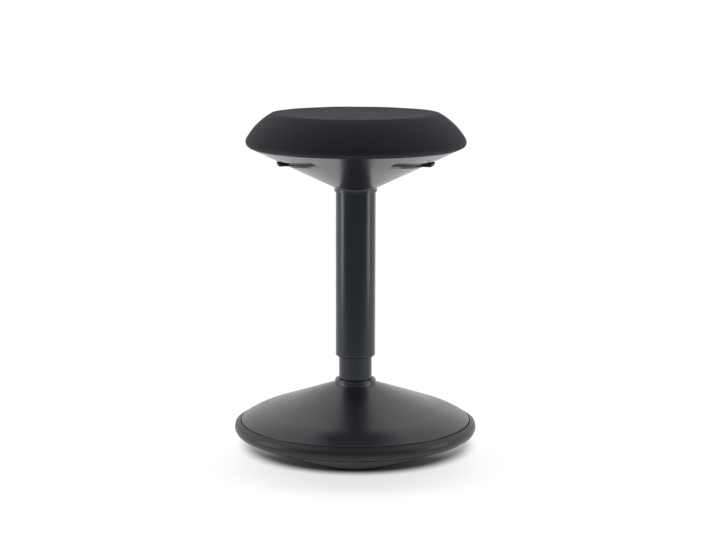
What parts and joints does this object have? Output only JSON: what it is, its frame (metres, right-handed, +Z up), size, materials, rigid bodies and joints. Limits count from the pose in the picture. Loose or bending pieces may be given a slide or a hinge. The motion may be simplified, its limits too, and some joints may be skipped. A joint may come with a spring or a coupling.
{
  "type": "wobble stool",
  "caption": "Round padded wobble stool on a gas-lift column with a weighted dome base and two release levers under the seat.",
  "frame": {"origin": "centre of the flat contact disc under the base, on the floor", "axes": "+Z up along the column; the release levers point along -X and +X, and the pictured front faces -Y"},
  "size_m": [0.3668, 0.3668, 0.534],
  "materials": {
    "cover_plastic": "satin",
    "tub_plastic": "matte",
    "bumper": "satin",
    "sole_rubber": "matte",
    "cast_iron": "rough",
    "black_steel": "satin",
    "bright_steel": "satin",
    "zinc_steel": "satin",
    "nylon": "satin",
    "white_nylon": "satin",
    "seal_rubber": "matte",
    "plywood": "matte",
    "foam": "matte",
    "fabric": "matte"
  },
  "bodies": {
    "base": {"sole": "sole_rubber", "base_tub": "tub_plastic", "bumper_ring": "bumper", "base_cover": "cover_plastic", "cover_screws": "zinc_steel", "ballast_ring": "cast_iron", "hub_socket": "black_steel", "hub_screws": "zinc_steel", "stand_tube": "black_steel", "tube_end_plate": "bright_steel", "guide_bush": "white_nylon", "lower_bearing_race": "bright_steel"},
    "ball_train": {"bearing_balls": "bright_steel", "ball_cage": "nylon"},
    "rod": {"upper_bearing_race": "bright_steel", "piston_rod": "bright_steel", "rod_clip": "bright_steel", "bump_stop": "seal_rubber", "piston": "bright_steel"},
    "seat": {"pressure_tube": "black_steel", "rod_guide": "white_nylon", "rod_seal": "seal_rubber", "sleeve": "black_steel", "sleeve_glide": "nylon", "sleeve_centring_ring": "nylon", "taper_socket": "black_steel", "socket_bridge": "black_steel", "seat_plate": "black_steel", "plate_bolts": "zinc_steel", "t_nuts": "zinc_steel", "lever_hinge_pins": "bright_steel", "seat_shell": "cover_plastic", "seat_board": "plywood", "hem_staples": "zinc_steel", "foam_pad": "foam", "seat_upholstery": "fabric"},
    "left_lever": {"left_lever": "cover_plastic"},
    "right_lever": {"right_lever": "cover_plastic"},
    "release": {"release_pin": "bright_steel", "release_cap": "nylon"}
  },
  "joints": [
    {"name": "seat_swivel", "type": "hinge", "parent": "base", "child": "rod", "pos_m": [0, 0, 0.05], "axis": [0, 0, 1], "continuous": true},
    {"name": "ball_train_roll", "type": "hinge", "parent": "base", "child": "ball_train", "pos_m": [0, 0, 0.05], "axis": [0, 0, 1], "continuous": true},
    {"name": "seat_height", "type": "slide", "parent": "rod", "child": "seat", "axis": [0, 0, 1], "range_m": [0, 0.2]},
    {"name": "left_lever_lift", "type": "hinge", "parent": "seat", "child": "left_lever", "pos_m": [-0.04, 0, 0.462], "axis": [0, 1, 0], "range_deg": [0, 3.6], "stiffness_Nm_per_rad": 4, "springref_deg": -1.72},
    {"name": "right_lever_lift", "type": "hinge", "parent": "seat", "child": "right_lever", "pos_m": [0.04, 0, 0.462], "axis": [0, -1, 0], "range_deg": [0, 3.6]},
    {"name": "release_press", "type": "slide", "parent": "seat", "child": "release", "axis": [0, 0, -1], "range_m": [0, 0.00222]}
  ],
  "couplings": [
    {"joint": "ball_train_roll", "follows": "seat_swivel", "ratio": 0.5},
    {"joint": "right_lever_lift", "follows": "left_lever_lift", "ratio": 1},
    {"joint": "release_press", "follows": "left_lever_lift", "m_per_rad": 0.035}
  ]
}
